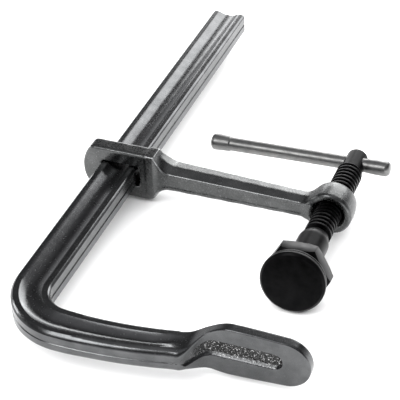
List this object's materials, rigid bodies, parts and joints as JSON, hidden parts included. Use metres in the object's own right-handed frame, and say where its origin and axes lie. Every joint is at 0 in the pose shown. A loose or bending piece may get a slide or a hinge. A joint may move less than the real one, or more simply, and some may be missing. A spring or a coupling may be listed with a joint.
{
  "type": "f clamp",
  "caption": "All-steel F clamp: forged rail with fixed arm, sliding arm, screw spindle with tommy bar, and a hexagonal swivel pad.",
  "frame": {"origin": "centre of the fixed jaw's clamping face, on the spindle's axis", "axes": "+Y along the rail, from the fixed jaw to the sliding arm; +X from the rail towards the spindle; +Z out of the clamp's plane, up as it lies on its side"},
  "size_m": [0.2853, 0.5253, 0.0576],
  "materials": {
    "forged_steel": "forged and blasted, lightly oiled, gunmetal grey",
    "bright_forged_steel": "forged and tumbled bright",
    "black_oxide": "black oxide, satin",
    "spring_steel": "plain spring steel",
    "bar_steel": "drawn bright bar, satin"
  },
  "bodies": {
    "rail": {"rail_and_fixed_arm": "forged_steel"},
    "sliding_arm": {"sliding_arm": "bright_forged_steel"},
    "ring": {"retaining_ring": "spring_steel"},
    "spindle": {"spindle": "black_oxide"},
    "tommy_bar": {"tommy_bar": "bar_steel", "tommy_bar_ferrule": "bar_steel"},
    "swivel_pad": {"pad_plate": "black_oxide", "pad_socket_nut": "black_oxide"}
  },
  "joints": [
    {"name": "arm_slide", "type": "slide", "parent": "rail", "child": "sliding_arm", "axis": [0, 1, 0], "range_m": [-0.03, 0.27]},
    {"name": "spindle_feed", "type": "slide", "parent": "sliding_arm", "child": "ring", "axis": [0, 1, 0], "range_m": [-0.044, 0.03]},
    {"name": "spindle_turn", "type": "hinge", "parent": "ring", "child": "spindle", "pos_m": [0, 0.1035, 0], "axis": [0, 1, 0], "range_deg": [-3168, 2160]},
    {"name": "tommy_bar_slide", "type": "slide", "parent": "spindle", "child": "tommy_bar", "axis": [0.9993, 0, 0.0366], "range_m": [-0.001, 0.11]},
    {"name": "pad_tilt", "type": "hinge", "parent": "ring", "child": "swivel_pad", "pos_m": [0, 0.1035, 0], "axis": [0.9397, 0, -0.342], "range_deg": [-5, 25]}
  ],
  "couplings": [
    {"joint": "spindle_feed", "follows": "spindle_turn", "m_per_rad": 0.00079577}
  ]
}
